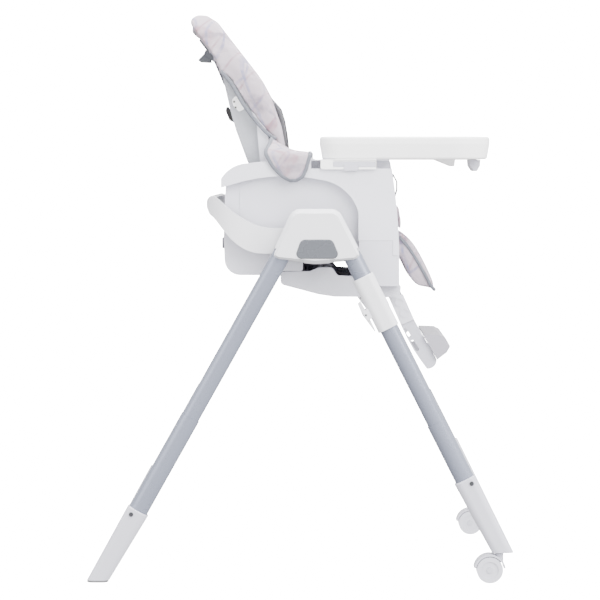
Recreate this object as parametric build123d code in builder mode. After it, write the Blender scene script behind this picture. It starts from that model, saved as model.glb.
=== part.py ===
"""Folding baby high chair with a reclining seat, sliding tray and height-adjusting footrest.

Millimetres.  X runs from the back of the chair to its front, Y to the child's left, Z up.
The origin is on the floor under the middle of the chair.
"""
import math
import os

from build123d import *

os.makedirs("parts", exist_ok=True)

# ---------------------------------------------------------------- driving dimensions
LEG_Y = 280.0                    # middle plane of each pair of legs
REAR_PIVOT = (-16.0, 645.0)      # X, Z of the rear leg hinge
FRONT_PIVOT = (80.0, 643.0)      # X, Z of the front leg hinge
REAR_ANGLE = -29.3               # lean of the leg from the vertical, foot forward is positive
FRONT_ANGLE = 26.8
TUBE_W, TUBE_T, TUBE_WALL = 34.0, 25.0, 1.6
LOWER_WALL = 1.4                 # wall of the lower tube that sleeves over the upper one
TUBE_JOIN = 385.0                # hinge to the joint between upper and lower tube
TUBE_OVERLAP = 45.0
PIN_R, RUN = 5.0, 0.05           # leg shafts, and the running clearance of every pin
PLUG_LENGTH = 60.0

HUB_IN, HUB_OUT = 252.0, 304.5   # hub housing, from its inner plate to its outer face
HUB_WALL = 3.5
HUB_STRAIGHT = 34.0              # width of the hub before its sides lean in
PLATE_T = 4.0
HUB_POINTS = [(-54, 610), (-14, 697), (71, 697), (115, 612), (104, 601), (28, 595), (-42, 602)]
HUB_RADII = [8, 24, 24, 8, 6, 60, 6]
BUTTON_POINTS = [(-10, 606), (2, 641), (60, 641), (74, 606)]
BUTTON_RADII = [9, 11, 11, 9]
BUTTON_STANDS = 1.5              # how far the fold button stands out of the hub

BASE_Y = 212.0                   # half width of the seat base
SHELL_Y, SHELL_IN = 230.0, 176.0 # armrest shell, outer face and inner wall
WALL = 3.5
DECK_Z, DECK_T = 684.0, 4.0

RECLINE = (-39.0, 632.0)         # X, Z of the backrest hinge
AXLE_R = 6.0
BACK_Y = 150.0                   # half width of the backrest box
PANEL_Y = 164.0                  # half width of the panel the back pad sits on

CASTER_R = 24.5
CASTER_X, CASTER_TRAIL = 372.0, 18.0
STEM_R = 3.5

RAIL_X0, RAIL_X1 = 20.0, 168.0   # tray channel in the armrest
RAIL_Z0, RAIL_Z1 = 772.0, 787.0
RAIL_BACK = 200.0

TRAY_X0, TRAY_X1 = 36.0, 358.0
TRAY_Y = 240.0
TRAY_BOTTOM, TRAY_SPLIT, TRAY_TOP = 789.5, 818.0, 832.0
TRAY_WALL = 3.0

FOOTREST_TOP = (190.0, 545.0)    # X, Z of the top front edge of the footrest slide
FOOTREST_ANGLE = 24.0            # lean of that slide from the vertical
SIDES = (("right", -1), ("left", 1))


# ---------------------------------------------------------------- helpers
def side_plane(y=0.0):
    """Plane square to the width: sketch x runs forward and sketch y runs up."""
    return Plane(origin=(0, y, 0), x_dir=(1, 0, 0), z_dir=(0, -1, 0))


def leg_point(pivot, angle, along, across=0.0):
    """X, Z of the point `along` mm down a leg and `across` mm in front of its middle line."""
    a = math.radians(angle)
    return (pivot[0] + math.sin(a) * along + math.cos(a) * across,
            pivot[1] - math.cos(a) * along + math.sin(a) * across)


def leg_plane(pivot, angle, along, y, across=0.0):
    """Plane square to a leg at that point; its sketch x points forward and its normal down."""
    a = math.radians(angle)
    x, z = leg_point(pivot, angle, along, across)
    return Plane(origin=(x, y, z), x_dir=(math.cos(a), 0, math.sin(a)),
                 z_dir=(math.sin(a), 0, -math.cos(a)))


def rounded(points, radii):
    """Closed face through the points with rounded corners."""
    with BuildLine() as line:
        FilletPolyline(*points, radius=radii, close=True)
    make_face(line.edges())


def outline(points):
    """Closed face through the points, joined by straight lines."""
    with BuildLine() as line:
        Polyline(*points, close=True)
    make_face(line.edges())


def slab(side, near, far, mode=Mode.ADD, taper=0.0):
    """Extrude the side-plane sketch drawn at side * near out to side * far."""
    extrude(amount=far - near, dir=(0, side, 0), taper=taper, mode=mode)


def block(x0, x1, y0, y1, z0, z1, mode=Mode.ADD):
    """Box between two corners."""
    with Locations(((x0 + x1) / 2, (y0 + y1) / 2, (z0 + z1) / 2)):
        Box(abs(x1 - x0), abs(y1 - y0), abs(z1 - z0), mode=mode)


def rod(x, z, radius, y0, y1, mode=Mode.ADD):
    """Round bar along the width between y0 and y1."""
    with Locations(Location((x, (y0 + y1) / 2, z), (90, 0, 0))):
        Cylinder(radius, abs(y1 - y0), mode=mode)


def save(builder, label):
    builder.part.label = label
    export_step(builder.part, f"parts/{label}.step")


# ---------------------------------------------------------------- hubs, one at each side
for name, s in SIDES:
    with BuildPart() as hub_cover:
        with BuildSketch(side_plane(s * HUB_IN)):
            rounded(HUB_POINTS, HUB_RADII)
        slab(s, HUB_IN, HUB_IN + HUB_STRAIGHT)
        with BuildSketch(side_plane(s * (HUB_IN + HUB_STRAIGHT))):
            rounded(HUB_POINTS, HUB_RADII)
        slab(s, HUB_IN + HUB_STRAIGHT, HUB_OUT, taper=22)
        # hollow, open towards the inner plate
        for start, end, lean in ((HUB_IN, HUB_IN + HUB_STRAIGHT, 0),
                                 (HUB_IN + HUB_STRAIGHT, HUB_OUT - HUB_WALL, 22)):
            with BuildSketch(side_plane(s * start)):
                rounded(HUB_POINTS, HUB_RADII)
                offset(amount=-HUB_WALL, mode=Mode.REPLACE)
            slab(s, start, end, mode=Mode.SUBTRACT, taper=lean)
        # mouths for the legs and for the whole of their swing
        for x0, x1 in ((-62, 8), (56, 130)):
            block(x0, x1, s * 265, s * 294.2, 580, 625, mode=Mode.SUBTRACT)
        # the button's window, and room behind it for its flange
        for start, end, gap in ((HUB_OUT - 12, HUB_OUT + 1, 0.4),
                                (HUB_OUT - 14, HUB_OUT - HUB_WALL, 3.2)):
            with BuildSketch(side_plane(s * start)):
                rounded(BUTTON_POINTS, BUTTON_RADII)
                offset(amount=gap, mode=Mode.REPLACE)
            slab(s, start, end, mode=Mode.SUBTRACT)
    save(hub_cover, f"hub_cover_{name}")

    with BuildPart() as fold_button:
        with BuildSketch(side_plane(s * (HUB_OUT - 6))):
            rounded(BUTTON_POINTS, BUTTON_RADII)
        slab(s, HUB_OUT - 6, HUB_OUT + BUTTON_STANDS)
        cap = fold_button.faces().sort_by(Axis.Y)[0 if s < 0 else -1]
        fillet(cap.edges(), 1.4)
        with BuildSketch(side_plane(s * (HUB_OUT - 6.5))):
            rounded(BUTTON_POINTS, BUTTON_RADII)
            offset(amount=2.5, mode=Mode.REPLACE)
        slab(s, HUB_OUT - 6.5, HUB_OUT - 4)
    save(fold_button, f"fold_button_{name}")

with BuildPart() as hub_plates:
    with BuildSketch(side_plane(-(HUB_IN - PLATE_T))):
        rounded(HUB_POINTS, HUB_RADII)
    slab(-1, HUB_IN - PLATE_T, HUB_IN)
    # bosses that carry the link shafts of the legs
    for x, z in (REAR_PIVOT, FRONT_PIVOT):
        rod(x, z, PIN_R + 6, -HUB_IN, -(LEG_Y - TUBE_T / 2 - 0.5))
        rod(x, z, PIN_R + RUN, -(HUB_IN - PLATE_T), -LEG_Y, mode=Mode.SUBTRACT)
    mirror(about=Plane.XZ)
save(hub_plates, "hub_plates")

# shafts that run across inside the seat and make each pair of legs swing together
for end, pivot in (("front", FRONT_PIVOT), ("rear", REAR_PIVOT)):
    tip = LEG_Y + TUBE_T / 2 + 1
    with BuildPart() as link_shaft:
        rod(*pivot, PIN_R, -tip, tip)
        for s in (-1, 1):
            rod(*pivot, PIN_R + 3, s * tip, s * (tip + 2.5))
    save(link_shaft, f"{end}_link_shaft")


# ---------------------------------------------------------------- legs, in left and right pairs
def leg_section(grow=0.0, mode=Mode.ADD):
    """Oval tube section, larger than the upper tube's outside by `grow`."""
    Ellipse(TUBE_W / 2 + grow, TUBE_T / 2 + grow, mode=mode)


TUBE_TOP = 34.0                  # hinge to the top of the upper tube
SNAP_AT = TUBE_JOIN + 22         # hinge to the snap button
# distance from the hinge to the foot sleeve's top and end, to the end of the lower tube, and
# the height at which the sleeve is cut level
FOOT = {"front": (503.0, 690.0, 570.0, 57.0), "rear": (585.0, 775.0, 650.0, 4.0)}
COLLAR = (80.0, 187.0)           # hinge to the collar's top and bottom
LEVER_AT = (146.0, -26.5)        # lever hinge: along the leg and across it
LEVER_POINTS = [(119, -24.5), (121, -31), (143, -32.5), (163, -29), (181, -26), (180, -23.8),
                (146, -23.2)]
lever_hinge = leg_point(FRONT_PIVOT, FRONT_ANGLE, *LEVER_AT)
y = -LEG_Y

for end, pivot, angle in (("front", FRONT_PIVOT, FRONT_ANGLE), ("rear", REAR_PIVOT, REAR_ANGLE)):
    foot_top, foot_end, tube_end, cut_z = FOOT[end]
    out = 1 if end == "front" else -1       # which way the foot leans along X
    snap = leg_point(pivot, angle, SNAP_AT)
    screw = leg_point(pivot, angle, foot_top + 11, out * 8)

    with BuildPart() as leg_knuckles:
        with BuildSketch(leg_plane(pivot, angle, 0, y)):
            RectangleRounded(22, TUBE_T, 5)
        extrude(amount=TUBE_TOP)
        rod(*pivot, 10, y - TUBE_T / 2, y + TUBE_T / 2)
        with BuildSketch(leg_plane(pivot, angle, TUBE_TOP, y)):
            leg_section(-TUBE_WALL)
        extrude(amount=PLUG_LENGTH)
        rod(*pivot, PIN_R, y - 20, y + 20, mode=Mode.SUBTRACT)
        mirror(about=Plane.XZ)
    save(leg_knuckles, f"{end}_leg_knuckles")

    with BuildPart() as upper_tubes:
        with BuildSketch(leg_plane(pivot, angle, TUBE_TOP, y)):
            leg_section()
            leg_section(-TUBE_WALL, mode=Mode.SUBTRACT)
        extrude(amount=TUBE_JOIN + TUBE_OVERLAP - TUBE_TOP)
        rod(*snap, 3.5, y + 9, y + 17, mode=Mode.SUBTRACT)
        mirror(about=Plane.XZ)
    save(upper_tubes, f"{end}_upper_tubes")

    with BuildPart() as lower_tubes:
        with BuildSketch(leg_plane(pivot, angle, TUBE_JOIN, y)):
            leg_section(LOWER_WALL)
            leg_section(0, mode=Mode.SUBTRACT)
        extrude(amount=tube_end - TUBE_JOIN)
        rod(*snap, 3.5, y + 9, y + 17, mode=Mode.SUBTRACT)
        mirror(about=Plane.XZ)
    save(lower_tubes, f"{end}_lower_tubes")

    with BuildPart() as foot_sleeves:
        with BuildSketch(leg_plane(pivot, angle, foot_top, y)):
            RectangleRounded(43, 36, 14)
        with BuildSketch(leg_plane(pivot, angle, foot_end, y, across=out * 2.5)):
            RectangleRounded(35, 30, 12)
        loft()
        rim = foot_sleeves.faces().sort_by(Axis.Z)[-1]
        fillet(rim.edges(), 2)
        with BuildSketch(leg_plane(pivot, angle, foot_top - 1, y)):
            leg_section(LOWER_WALL)
        extrude(amount=tube_end - foot_top + 1, mode=Mode.SUBTRACT)
        x_foot = leg_point(pivot, angle, foot_end)[0]
        block(x_foot - 80, x_foot + 80, y - 40, y + 40, cut_z - 90, cut_z, mode=Mode.SUBTRACT)
        rod(*screw, 2, y, y - 20, mode=Mode.SUBTRACT)
        if end == "front":
            with Locations((CASTER_X, y, cut_z + 12)):
                Cylinder(STEM_R, 26, mode=Mode.SUBTRACT)
        mirror(about=Plane.XZ)
    save(foot_sleeves, f"{end}_foot_sleeves")

    # snap buttons and foot screws, with the lever pins and caster stems on the front pair
    with BuildPart() as leg_fasteners:
        rod(*snap, 3.5, y + 9.5, y + 16)
        rod(*screw, 2, y - 14.5, y - 18)
        rod(*screw, 4.2, y - 18, y - 19.5)
        if end == "front":
            rod(*lever_hinge, 2, y - 14, y + 14)
            with Locations((CASTER_X, y, 56)):
                Cylinder(STEM_R, 28)
        mirror(about=Plane.XZ)
    save(leg_fasteners, f"{end}_leg_fasteners")

# rubber soles under the rear feet
with BuildPart() as rear_soles:
    with BuildSketch(Plane.XY):
        with Locations((leg_point(REAR_PIVOT, REAR_ANGLE, 737.5, -2.2)[0], y)):
            RectangleRounded(40, 30, 12)
    extrude(amount=4)
    mirror(about=Plane.XZ)
save(rear_soles, "rear_soles")


# ---------------------------------------------------------------- collars on the front legs
with BuildPart() as collars:
    with BuildSketch(leg_plane(FRONT_PIVOT, FRONT_ANGLE, COLLAR[0], y)):
        RectangleRounded(41, 34, 13)
    extrude(amount=COLLAR[1] - COLLAR[0])
    fillet(collars.faces().sort_by(Axis.Z)[-1].edges(), 1.8)
    # ears that hold the lever pin
    with BuildSketch(leg_plane(FRONT_PIVOT, FRONT_ANGLE, 136, y, across=-24)):
        for side in (-1, 1):
            with Locations((0, side * 12)):
                Rectangle(12, 4)
    extrude(amount=20)
    with BuildSketch(leg_plane(FRONT_PIVOT, FRONT_ANGLE, COLLAR[0] - 1, y)):
        leg_section()
    extrude(amount=COLLAR[1] - COLLAR[0] + 2, mode=Mode.SUBTRACT)
    rod(*lever_hinge, 2, y - 15, y + 15, mode=Mode.SUBTRACT)
    mirror(about=Plane.XZ)
save(collars, "collars")

for name, s in SIDES:
    with BuildPart() as collar_lever:
        with BuildSketch(side_plane(s * LEG_Y)):
            outline([leg_point(FRONT_PIVOT, FRONT_ANGLE, *p) for p in LEVER_POINTS])
        extrude(amount=9.5, both=True)
        rod(*lever_hinge, 2 + RUN, s * LEG_Y - 15, s * LEG_Y + 15, mode=Mode.SUBTRACT)
    save(collar_lever, f"collar_lever_{name}")


# ---------------------------------------------------------------- casters
WHEEL_IN, WHEEL_OUT = 5.2, 14.2  # inner and outer face of each wheel from the caster's middle
WEB = 4.7
wheel_x = CASTER_X - CASTER_TRAIL
for name, s in SIDES:
    y = s * LEG_Y
    with BuildPart() as caster_body:
        rod(wheel_x, CASTER_R, 29.5, y - 15.5, y + 15.5)
        block(wheel_x - 40, wheel_x + 40, y - 20, y + 20, -20, CASTER_R + 4, mode=Mode.SUBTRACT)
        rod(wheel_x, CASTER_R, 26, y - 20, y + 20, mode=Mode.SUBTRACT)
        # centre web between the wheels, and the boss that turns on the stem
        with BuildSketch(side_plane(y)):
            outline([(wheel_x - 9, CASTER_R), (wheel_x - 22, CASTER_R + 17),
                     (wheel_x - 6, CASTER_R + 27), (CASTER_X + 4, CASTER_R + 24),
                     (wheel_x + 9, CASTER_R)])
            with Locations((wheel_x, CASTER_R)):
                Circle(9)
        extrude(amount=WEB, both=True)
        with Locations((CASTER_X, y, 46.5)):
            Cylinder(8, 16)
        for side in (-1, 1):
            rod(wheel_x, CASTER_R, 25.4, y + side * WEB, y + side * 15, mode=Mode.SUBTRACT)
        with Locations((CASTER_X, y, 48)):
            Cylinder(STEM_R + RUN, 14, mode=Mode.SUBTRACT)
        rod(wheel_x, CASTER_R, 3, y - 20, y + 20, mode=Mode.SUBTRACT)
        # the axle is a separate pin pressed into the web
        rod(wheel_x, CASTER_R, 3, y - WHEEL_OUT, y + WHEEL_OUT)
        for side in (-1, 1):
            rod(wheel_x, CASTER_R, 5.5, y + side * 12.6, y + side * WHEEL_OUT)
    save(caster_body, f"caster_body_{name}")

    with BuildPart() as caster_wheels:
        for side in (-1, 1):
            rod(wheel_x, CASTER_R, CASTER_R, y + side * WHEEL_IN, y + side * WHEEL_OUT)
            rod(wheel_x, CASTER_R, 16, y + side * (WHEEL_OUT - 2), y + side * 15,
                mode=Mode.SUBTRACT)
        rod(wheel_x, CASTER_R, 3 + RUN, y - 20, y + 20, mode=Mode.SUBTRACT)
    save(caster_wheels, f"caster_wheels_{name}")


# ---------------------------------------------------------------- seat base
BASE_POINTS = [(-141, 740), (-145, 640), (-142, 571), (-50, 571), (-46, 579), (4, 579), (6, 616),
               (112, 616), (118, 577), (168, 577), (168, 764), (-76, 764), (-113, 752)]
BASE_RADII = [1, 60, 30, 4, 4, 4, 4, 4, 4, 4, 1, 4, 4]
with BuildPart() as seat_base:
    with BuildSketch(side_plane()):
        rounded(BASE_POINTS, BASE_RADII)
    extrude(amount=BASE_Y, both=True)
    with BuildSketch(side_plane()):
        rounded(BASE_POINTS, BASE_RADII)
        offset(amount=-WALL, mode=Mode.REPLACE)
    extrude(amount=BASE_Y - WALL, both=True, mode=Mode.SUBTRACT)
    inner = BASE_Y - WALL
    block(-137, 164.5, -inner, inner, 740, 770, mode=Mode.SUBTRACT)
    block(-150, -130, -172, 172, 690, 770, mode=Mode.SUBTRACT)
    block(160, 170, -inner, inner, DECK_Z - DECK_T, 770, mode=Mode.SUBTRACT)
    for s in (-1, 1):
        # panel joint line on each side, and the pad that the hub bolts to
        block(-115.6, -114.6, s * (BASE_Y - 1), s * (BASE_Y + 1), 655, 752, mode=Mode.SUBTRACT)
        block(2, 60, s * BASE_Y, s * (HUB_IN - PLATE_T), 630, 680)
    rod(*RECLINE, AXLE_R, -BASE_Y, BASE_Y, mode=Mode.SUBTRACT)
    for pivot in (REAR_PIVOT, FRONT_PIVOT):      # bearings of the link shafts
        rod(*pivot, PIN_R + RUN, -BASE_Y, BASE_Y, mode=Mode.SUBTRACT)
save(seat_base, "seat_base")

with BuildPart() as recline_axle:
    rod(*RECLINE, AXLE_R, -BASE_Y, BASE_Y)
save(recline_axle, "recline_axle")

with BuildPart() as cross_beam:
    span = HUB_IN - PLATE_T
    block(22, 62, -span, span, 596, 616)
    block(24, 60, -span, span, 598, 614, mode=Mode.SUBTRACT)
save(cross_beam, "cross_beam")

with BuildPart() as seat_deck:
    inner = BASE_Y - WALL
    block(-20, 164.5, -inner, inner, DECK_Z - DECK_T, DECK_Z)
    block(164.5, 177, -SHELL_IN, SHELL_IN, DECK_Z - DECK_T, DECK_Z)
    for y in (-60, 60):                      # stiffening ribs under the deck
        block(-16, 160, y - 2, y + 2, 658, DECK_Z - DECK_T)
    block(160, 172, -14, 14, DECK_Z - 6, DECK_Z + 2, mode=Mode.SUBTRACT)
save(seat_deck, "seat_deck")

with BuildPart() as rear_bumper:
    with BuildSketch(side_plane()):
        rounded([(-144, 620), (-144, 643.5), (-148, 641), (-148, 622.5)], 1.5)
    extrude(amount=BASE_Y - 6, both=True)
    with BuildSketch(side_plane()):
        rounded(BASE_POINTS, BASE_RADII)
    extrude(amount=BASE_Y, both=True, mode=Mode.SUBTRACT)
save(rear_bumper, "rear_bumper")


# ---------------------------------------------------------------- armrest shells
def shell_outline(inset=0.0):
    """Side of the seat: arched over the base and running down to the front corner."""
    bends = [((-149, 753), (-132, 771), (-98, 782)),
             ((163, 789), (167.6, 786.6), (169.8, 781)),
             ((169.8, 781), (180.5, 700), (185.5, 609)),
             ((109, 690), (84, 730), (37, 751)),
             ((37, 751), (-38, 757.5), (-113, 746.5))]
    runs = [[(-98, 782), (17, 795.2), (28, 789), (163, 789)],
            [(185.5, 609), (173.5, 609), (173.5, 637), (109, 637), (109, 690)],
            [(-113, 746.5), (-149, 736), (-149, 753)]]
    with BuildLine() as line:
        for bend in bends:
            ThreePointArc(*bend)
        for run in runs:
            Polyline(*run)
    make_face(line.edges())
    if inset:
        offset(amount=-inset, mode=Mode.REPLACE)


for name, s in SIDES:
    with BuildPart() as side_shell:
        with BuildSketch(side_plane(s * SHELL_IN)):
            shell_outline()
        slab(s, SHELL_IN, SHELL_Y)
        with BuildSketch(side_plane(s * (SHELL_IN + WALL))):
            shell_outline(WALL)
        slab(s, SHELL_IN + WALL, SHELL_Y - WALL, mode=Mode.SUBTRACT)
        # open underneath, inboard of the base's own wall
        with BuildSketch(side_plane(s * (SHELL_IN + WALL))):
            outline([(-145.5, 700), (-145.5, 745), (-98, 765), (168.3, 765), (168.3, 600),
                     (-100, 600)])
        slab(s, SHELL_IN + WALL, BASE_Y + 0.4, mode=Mode.SUBTRACT)
        block(100, 168.3, s * SHELL_IN, s * (SHELL_IN + WALL + 1), 600, DECK_Z, mode=Mode.SUBTRACT)
        block(-150, -130, s * (SHELL_IN - 1), s * (SHELL_IN + WALL + 1), 730, 742.2,
              mode=Mode.SUBTRACT)
        # the tray channel: floor, back and end, then its opening
        block(RAIL_X0 - WALL, 167, s * (RAIL_BACK - WALL), s * (SHELL_Y - WALL),
              RAIL_Z0 - WALL, RAIL_Z1 + 1.5)
        block(RAIL_X0, 190, s * RAIL_BACK, s * (SHELL_Y + 1), RAIL_Z0, RAIL_Z1, mode=Mode.SUBTRACT)
    save(side_shell, f"side_shell_{name}")

with BuildPart() as front_covers:
    with BuildSketch(side_plane(-(BASE_Y + 0.4))):
        outline([(110, 636.6), (173.1, 636.6), (173.1, 608.6), (185.5, 608.6), (186, 551.4),
                 (150, 551.4), (141, 567), (110, 605)])
    slab(-1, BASE_Y + 0.4, SHELL_Y - 0.5)
    with BuildSketch(side_plane(-SHELL_IN)):
        outline([(168.4, 608), (185.5, 608), (186, 551.4), (168.4, 551.4)])
    slab(-1, SHELL_IN, BASE_Y + 0.4)
    # hollow behind the front and behind the side
    with BuildSketch(side_plane(-(SHELL_IN + WALL))):
        outline([(165, 605), (182, 605), (182.4, 555), (165, 555)])
    slab(-1, SHELL_IN + WALL, SHELL_Y - 0.5 - WALL, mode=Mode.SUBTRACT)
    with BuildSketch(side_plane(-BASE_Y)):
        outline([(113.5, 633), (169.6, 633), (169.6, 605), (170, 555), (152, 555), (144, 569),
                 (113.5, 606)])
    slab(-1, BASE_Y, SHELL_Y - 0.5 - WALL, mode=Mode.SUBTRACT)
    mirror(about=Plane.XZ)
save(front_covers, "front_covers")

with BuildPart() as front_panel:
    with BuildSketch(side_plane()):
        with BuildLine():
            ThreePointArc((180.5, 700), (183.3, 655), (185.5, 609))
            Polyline((185.5, 609), (186, 551.4), (182, 551.4), (181.5, 609))
            ThreePointArc((181.5, 609), (179.3, 655), (177, 696))
            Line((177, 696), (180.5, 700))
        make_face()
    extrude(amount=SHELL_IN, both=True)
save(front_panel, "front_panel")

with BuildPart() as front_sill:
    with BuildSketch(side_plane()):
        rounded([(152, 529), (188, 529), (190, 551.2), (152, 551.2)], 3)
    extrude(amount=205, both=True)
    block(156, 184, -201, 201, 533, 560, mode=Mode.SUBTRACT)
save(front_sill, "front_sill")

with BuildPart() as base_pan:
    with BuildSketch(side_plane()):
        rounded([(-38, 577), (-38, 553), (34, 534), (64, 529.5), (151.8, 529), (151.8, 551),
                 (142, 566), (70, 570), (60, 585), (34, 585), (18, 578)],
                [3, 9, 40, 30, 2, 2, 6, 6, 6, 6, 6])
    extrude(amount=198, both=True)
    with BuildSketch(side_plane()):
        outline([(-34, 620), (-34, 556.5), (34, 538), (64, 533.2), (147.8, 532.8), (147.8, 620)])
    extrude(amount=194.5, both=True, mode=Mode.SUBTRACT)
    for y in (-80, 80):                      # posts up to the cross beam
        block(34, 60, y - 14, y + 14, 536, 596)
save(base_pan, "base_pan")

with BuildPart() as push_handle:
    with BuildSketch(side_plane()):
        with BuildLine():
            Spline((-168, 721), (-141, 703), (-112, 681), (-79, 665), (-8, 661),
                   tangents=((1, -0.25), (1, 0)))
            Polyline((-8, 661), (-8, 613), (-56, 613))
            Spline((-56, 613), (-94, 617), (-126, 637), (-150, 664), (-166, 682), (-175, 694),
                   tangents=((-1, 0), (-0.3, 1)))
            ThreePointArc((-175, 694), (-177, 712), (-168, 721))
        make_face()
    extrude(amount=HUB_IN, both=True)
    with BuildSketch(Plane.XY.offset(550)):
        with Locations((22, 0)):
            RectangleRounded(400, 2 * (HUB_IN - PLATE_T), 62)
        with Locations((40, 0)):
            RectangleRounded(400, 2 * (HUB_IN - PLATE_T) - 44, 40, mode=Mode.SUBTRACT)
    extrude(amount=220, mode=Mode.INTERSECT)
    rod(*REAR_PIVOT, PIN_R + 0.6, -HUB_IN, HUB_IN, mode=Mode.SUBTRACT)
save(push_handle, "push_handle")


# ---------------------------------------------------------------- footrest
def slide_point(down, fore):
    """X, Z of a point `down` the footrest slide and `fore` of its front edge."""
    return leg_point(FOOTREST_TOP, FOOTREST_ANGLE, down, fore)


BRACKET_IN, BRACKET_OUT = 100.0, 126.0
BRACKET_END = 69.0
SLOT_FORE, SLOT_BACK = -4.5, -22.5
bracket_y = (BRACKET_IN + BRACKET_OUT) / 2
with BuildPart() as slide_brackets:
    with BuildSketch(side_plane(-bracket_y)):
        outline([slide_point(0, 0), slide_point(BRACKET_END, 0), slide_point(BRACKET_END, -27),
                 slide_point(0, -27)])
    extrude(amount=(BRACKET_OUT - BRACKET_IN) / 2, both=True)
    # raised C-shaped stops on the outer face
    for down, size in ((27, 8.5), (50, 9)):
        x, z = slide_point(down, -13 if down < 40 else -12)
        with BuildSketch(side_plane(-BRACKET_OUT)):
            with Locations(Location((x, z), -FOOTREST_ANGLE)):
                Circle(size)
                Circle(size - 2.5, mode=Mode.SUBTRACT)
                with Locations((size, 0)):
                    Rectangle(size, size, mode=Mode.SUBTRACT)
        slab(-1, BRACKET_OUT, BRACKET_OUT + 1.5)
    block(140, 220, -bracket_y - 20, -bracket_y + 20, 528.9, 560, mode=Mode.SUBTRACT)
    # channel for the arm's tongue, open at the bottom
    with BuildSketch(side_plane(-bracket_y)):
        outline([slide_point(22, SLOT_FORE), slide_point(90, SLOT_FORE),
                 slide_point(90, SLOT_BACK), slide_point(22, SLOT_BACK)])
    extrude(amount=8.5, both=True, mode=Mode.SUBTRACT)
    mirror(about=Plane.XZ)
save(slide_brackets, "slide_brackets")

with BuildPart() as footrest:
    for s in (-1, 1):
        y = s * bracket_y
        with BuildSketch(side_plane(y)):
            outline([slide_point(*p) for p in ((24, SLOT_FORE - 0.5), (75, SLOT_FORE - 0.5),
                                               (75, SLOT_BACK + 0.5), (24, SLOT_BACK + 0.5))])
        extrude(amount=8, both=True)
        with BuildSketch(side_plane(y)):
            with BuildLine():
                Polyline(slide_point(70, 0), (237, 447), (249, 428), (262, 404))
                ThreePointArc((262, 404), (256, 390), (243, 386))
                Polyline((243, 386), (229, 405), (217, 423), (204, 447), slide_point(70, -27),
                         slide_point(70, 0))
            make_face()
        extrude(amount=10, both=True)
        for x, z, length, width in ((205, 456, 20, 5), (220, 431, 24, 7)):
            with BuildSketch(side_plane(y)):
                with Locations(Location((x, z), -58)):
                    SlotOverall(length, width)
            extrude(amount=20, both=True, mode=Mode.SUBTRACT)
save(footrest, "footrest_arms")

with BuildPart() as foot_board:
    with BuildSketch(side_plane()):
        rounded([(236.6, 452.5), (268, 451.5), (279, 446), (288, 430), (281, 418), (262.6, 404),
                 (249.6, 428), (237.6, 447.3)], [1, 8, 6, 6, 8, 1, 4, 1])
    extrude(amount=130, both=True)
    with BuildSketch(side_plane()):
        rounded([(256, 430), (262, 440), (271, 438), (277, 428), (272, 421), (262, 416)], 2)
    extrude(amount=124, both=True, mode=Mode.SUBTRACT)
save(foot_board, "foot_board")


# ---------------------------------------------------------------- backrest
REAR_LINE = [(-62, 690), (-103, 788), (-124, 845), (-137, 893), (-150, 950), (-164, 982),
             (-176, 998), (-193, 1018), (-204, 1034)]
SEAM_LINE = [(-50, 690), (-78, 788), (-84, 858), (-108, 915), (-132, 958), (-162, 997),
             (-197, 1040)]
FRONT_LINE = [(-30, 690), (-46, 740), (-54, 800), (-67, 850), (-98, 910), (-122, 950),
              (-156, 993), (-192, 1038)]
PAD_LINE = [(-22, 712), (-29, 770), (-34, 812), (-41, 850), (-61, 906), (-83, 947), (-121, 996),
            (-142, 1023), (-163, 1051)]
HEAD_TOP = [(-184, 1065.5), (-203, 1067), (-215, 1059), (-215.5, 1047)]
HOOD_LINE = [(-208.5, 1036), (-197.5, 1021), (-180, 1001), (-168, 985), (-154, 951)]
WING_LINE = [(-137, 940), (-121, 916), (-96, 878), (-68, 844), (-49, 828), (-38, 790)]


def trim_to_front(half, top, shoulder, corner):
    """Keep only what lies inside the round-topped front outline of the backrest."""
    with BuildSketch(Plane(origin=(-300, 0, 0), x_dir=(0, 1, 0), z_dir=(1, 0, 0))) as front:
        rounded([(-half, 600), (-half, shoulder), (-half + 34, top), (half - 34, top),
                 (half, shoulder), (half, 600)], [1, 90, corner, corner, 90, 1])
    extrude(front.sketch, amount=400, mode=Mode.INTERSECT)


with BuildPart() as backrest_shell:
    with BuildSketch(side_plane()):
        outline(REAR_LINE + SEAM_LINE[::-1])
    extrude(amount=BACK_Y, both=True)
    with BuildSketch(side_plane()):
        outline([(-46, 694), (-57.5, 694), (-99, 789), (-120, 846), (-132.5, 893), (-144, 946),
                 (-120, 944), (-80, 858), (-74, 788)])
    extrude(amount=BACK_Y - WALL, both=True, mode=Mode.SUBTRACT)
    trim_to_front(BACK_Y, 1050, 960, 60)
    # lugs down to the hinge
    for y in (-127, 127):
        with BuildSketch(side_plane(y)):
            outline([(-86, 745), (-70, 745), (-52, 694), (-26.5, 637), (-51.5, 627), (-64, 690)])
            with Locations(RECLINE):
                Circle(13.5)
        extrude(amount=7, both=True)
    rod(*RECLINE, AXLE_R + RUN, -150, 150, mode=Mode.SUBTRACT)
save(backrest_shell, "backrest_shell")

with BuildPart() as backrest_panel:
    with BuildSketch(side_plane()):
        outline(SEAM_LINE + FRONT_LINE[::-1])
    extrude(amount=PANEL_Y - 4, both=True)
    with BuildSketch(side_plane()):
        outline([(-54, 694), (-34, 694), (-50, 741), (-58, 801), (-71, 849), (-101, 907),
                 (-112, 915), (-88, 858), (-82, 788)])
    extrude(amount=BACK_Y - 2, both=True, mode=Mode.SUBTRACT)
    trim_to_front(PANEL_Y - 4, 1050, 960, 60)
save(backrest_panel, "backrest_panel")

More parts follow.
